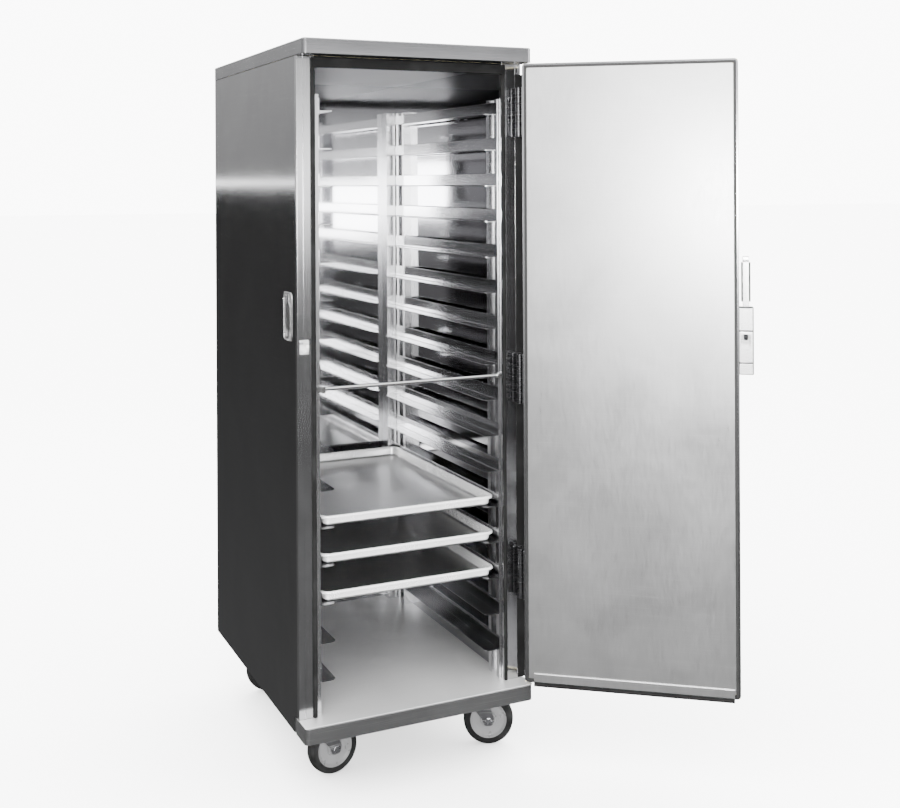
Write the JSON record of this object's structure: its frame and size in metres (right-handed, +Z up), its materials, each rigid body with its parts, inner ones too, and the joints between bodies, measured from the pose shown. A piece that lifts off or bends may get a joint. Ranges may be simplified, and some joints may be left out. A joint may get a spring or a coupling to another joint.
{
  "type": "proofing cabinet",
  "caption": "Tall insulated proofing cabinet on swivel casters, with a hinged latching door, a rack of angle slides and sheet pans that pull out.",
  "frame": {"origin": "on the floor under the middle of the cabinet body, half way between its sides and between the front frame and the back", "axes": "+Z up, -Y out of the door opening, +X towards the hinge side"},
  "size_m": [1.0301, 1.157, 1.766],
  "materials": {
    "frame_steel": "satin",
    "floor_sheet": "satin",
    "outer_sheet": "brushed, dark reflections",
    "cap_sheet": "satin",
    "liner_sheet": "polished",
    "foam": "rigid foam board",
    "front_frame": "brushed",
    "header_sheet": "satin",
    "black_rubber": "matte",
    "rack_sheet": "bright",
    "bright_rod": "bright",
    "latch_metal": "satin chrome",
    "black_steel": "black oxide",
    "pull_metal": "satin chrome",
    "hinge_metal": "satin",
    "zinc": "zinc plated",
    "door_sheet": "brushed",
    "door_liner": "fine satin",
    "black_plastic": "fine texture",
    "pan_aluminium": "bright, scuffed",
    "fork_steel": "dark",
    "wheel_core": "grey",
    "tread": "rubber"
  },
  "bodies": {
    "cabinet": {"base_front_rail": "frame_steel", "base_rails": "frame_steel", "caster_channels": "frame_steel", "floor_panel": "floor_sheet", "left_outer_panel": "outer_sheet", "right_outer_panel": "outer_sheet", "rear_outer_panel": "outer_sheet", "roof_cap": "cap_sheet", "side_liners": "liner_sheet", "rear_liner": "liner_sheet", "ceiling_liner": "liner_sheet", "insulation": "foam", "latch_jamb": "front_frame", "hinge_jamb": "front_frame", "header": "header_sheet", "frame_gasket": "black_rubber", "rack_uprights": "rack_sheet", "rear_pan_stops": "rack_sheet", "pan_slides": "rack_sheet", "rack_tie_bar": "bright_rod", "tie_bar_forks": "bright_rod", "latch_strike": "latch_metal", "side_pull_dish": "pull_metal", "side_pull_grip": "pull_metal", "hinge_frame_leaves": "hinge_metal", "hinge_pins": "black_steel", "small_screws": "zinc", "caster_plates": "zinc", "caster_bolts": "zinc"},
    "door": {"door_outer_skin": "door_sheet", "door_inner_panel": "door_liner", "door_core": "foam", "door_edge_breaker": "black_plastic", "door_sweep": "black_rubber", "hinge_door_leaves": "hinge_metal", "latch_body": "latch_metal", "latch_pivot_pin": "latch_metal", "latch_spring": "zinc"},
    "latch_lever": {"latch_handle": "latch_metal", "latch_grip": "black_plastic"},
    "bolt": {"latch_bolt": "black_steel"},
    "pan_1": {"sheet_pan_1": "pan_aluminium"},
    "pan_2": {"sheet_pan_2": "pan_aluminium"},
    "pan_3": {"sheet_pan_3": "pan_aluminium"},
    "front_left_swivel": {"front_left_fork": "fork_steel", "front_left_axle": "zinc"},
    "front_left_roller": {"front_left_wheel": "wheel_core", "front_left_tyre": "tread"},
    "front_right_swivel": {"front_right_fork": "fork_steel", "front_right_axle": "zinc"},
    "front_right_roller": {"front_right_wheel": "wheel_core", "front_right_tyre": "tread"},
    "rear_left_swivel": {"rear_left_fork": "fork_steel", "rear_left_axle": "zinc"},
    "rear_left_roller": {"rear_left_wheel": "wheel_core", "rear_left_tyre": "tread"},
    "rear_right_swivel": {"rear_right_fork": "fork_steel", "rear_right_axle": "zinc"},
    "rear_right_roller": {"rear_right_wheel": "wheel_core", "rear_right_tyre": "tread"}
  },
  "joints": [
    {"name": "door_swing", "type": "hinge", "parent": "cabinet", "child": "door", "pos_m": [0.272, -0.409, 0.948], "axis": [0, 0, 1], "range_deg": [-142, 38]},
    {"name": "latch_lever_tilt", "type": "hinge", "parent": "door", "child": "latch_lever", "pos_m": [0.7176, -0.72795, 1.108], "axis": [-0.788, 0.6157, 0], "range_deg": [0, 13], "stiffness_Nm_per_rad": 1.5, "springref_deg": -11.46},
    {"name": "bolt_lift", "type": "slide", "parent": "door", "child": "bolt", "axis": [0, 0, 1], "range_m": [0, 0.0082], "deforming": ["latch_spring"]},
    {"name": "pan_1_slide", "type": "slide", "parent": "cabinet", "child": "pan_1", "axis": [0, -1, 0], "range_m": [0, 0.62]},
    {"name": "pan_2_slide", "type": "slide", "parent": "cabinet", "child": "pan_2", "axis": [0, -1, 0], "range_m": [0, 0.62]},
    {"name": "pan_3_slide", "type": "slide", "parent": "cabinet", "child": "pan_3", "axis": [0, -1, 0], "range_m": [0, 0.62]},
    {"name": "front_left_swivel_turn", "type": "hinge", "parent": "cabinet", "child": "front_left_swivel", "pos_m": [-0.2081, -0.262, 0.14], "axis": [0, 0, 1], "continuous": true},
    {"name": "front_left_wheel_roll", "type": "hinge", "parent": "front_left_swivel", "child": "front_left_roller", "pos_m": [-0.16871, -0.25505, 0.0635], "axis": [-0.1736, 0.9848, 0], "continuous": true},
    {"name": "front_right_swivel_turn", "type": "hinge", "parent": "cabinet", "child": "front_right_swivel", "pos_m": [0.2081, -0.262, 0.14], "axis": [0, 0, 1], "continuous": true},
    {"name": "front_right_wheel_roll", "type": "hinge", "parent": "front_right_swivel", "child": "front_right_roller", "pos_m": [0.24435, -0.27891, 0.0635], "axis": [0.4226, 0.9063, 0], "continuous": true},
    {"name": "rear_left_swivel_turn", "type": "hinge", "parent": "cabinet", "child": "rear_left_swivel", "pos_m": [-0.2081, 0.292, 0.14], "axis": [0, 0, 1], "continuous": true},
    {"name": "rear_left_wheel_roll", "type": "hinge", "parent": "rear_left_swivel", "child": "rear_left_roller", "pos_m": [-0.16825, 0.29549, 0.0635], "axis": [-0.0872, 0.9962, 0], "continuous": true},
    {"name": "rear_right_swivel_turn", "type": "hinge", "parent": "cabinet", "child": "rear_right_swivel", "pos_m": [0.2081, 0.292, 0.14], "axis": [0, 0, 1], "continuous": true},
    {"name": "rear_right_wheel_roll", "type": "hinge", "parent": "rear_right_swivel", "child": "rear_right_roller", "pos_m": [0.24723, 0.28368, 0.0635], "axis": [0.2079, 0.9781, 0], "continuous": true}
  ],
  "couplings": [
    {"joint": "bolt_lift", "follows": "latch_lever_tilt", "m_per_rad": 0.03526}
  ]
}
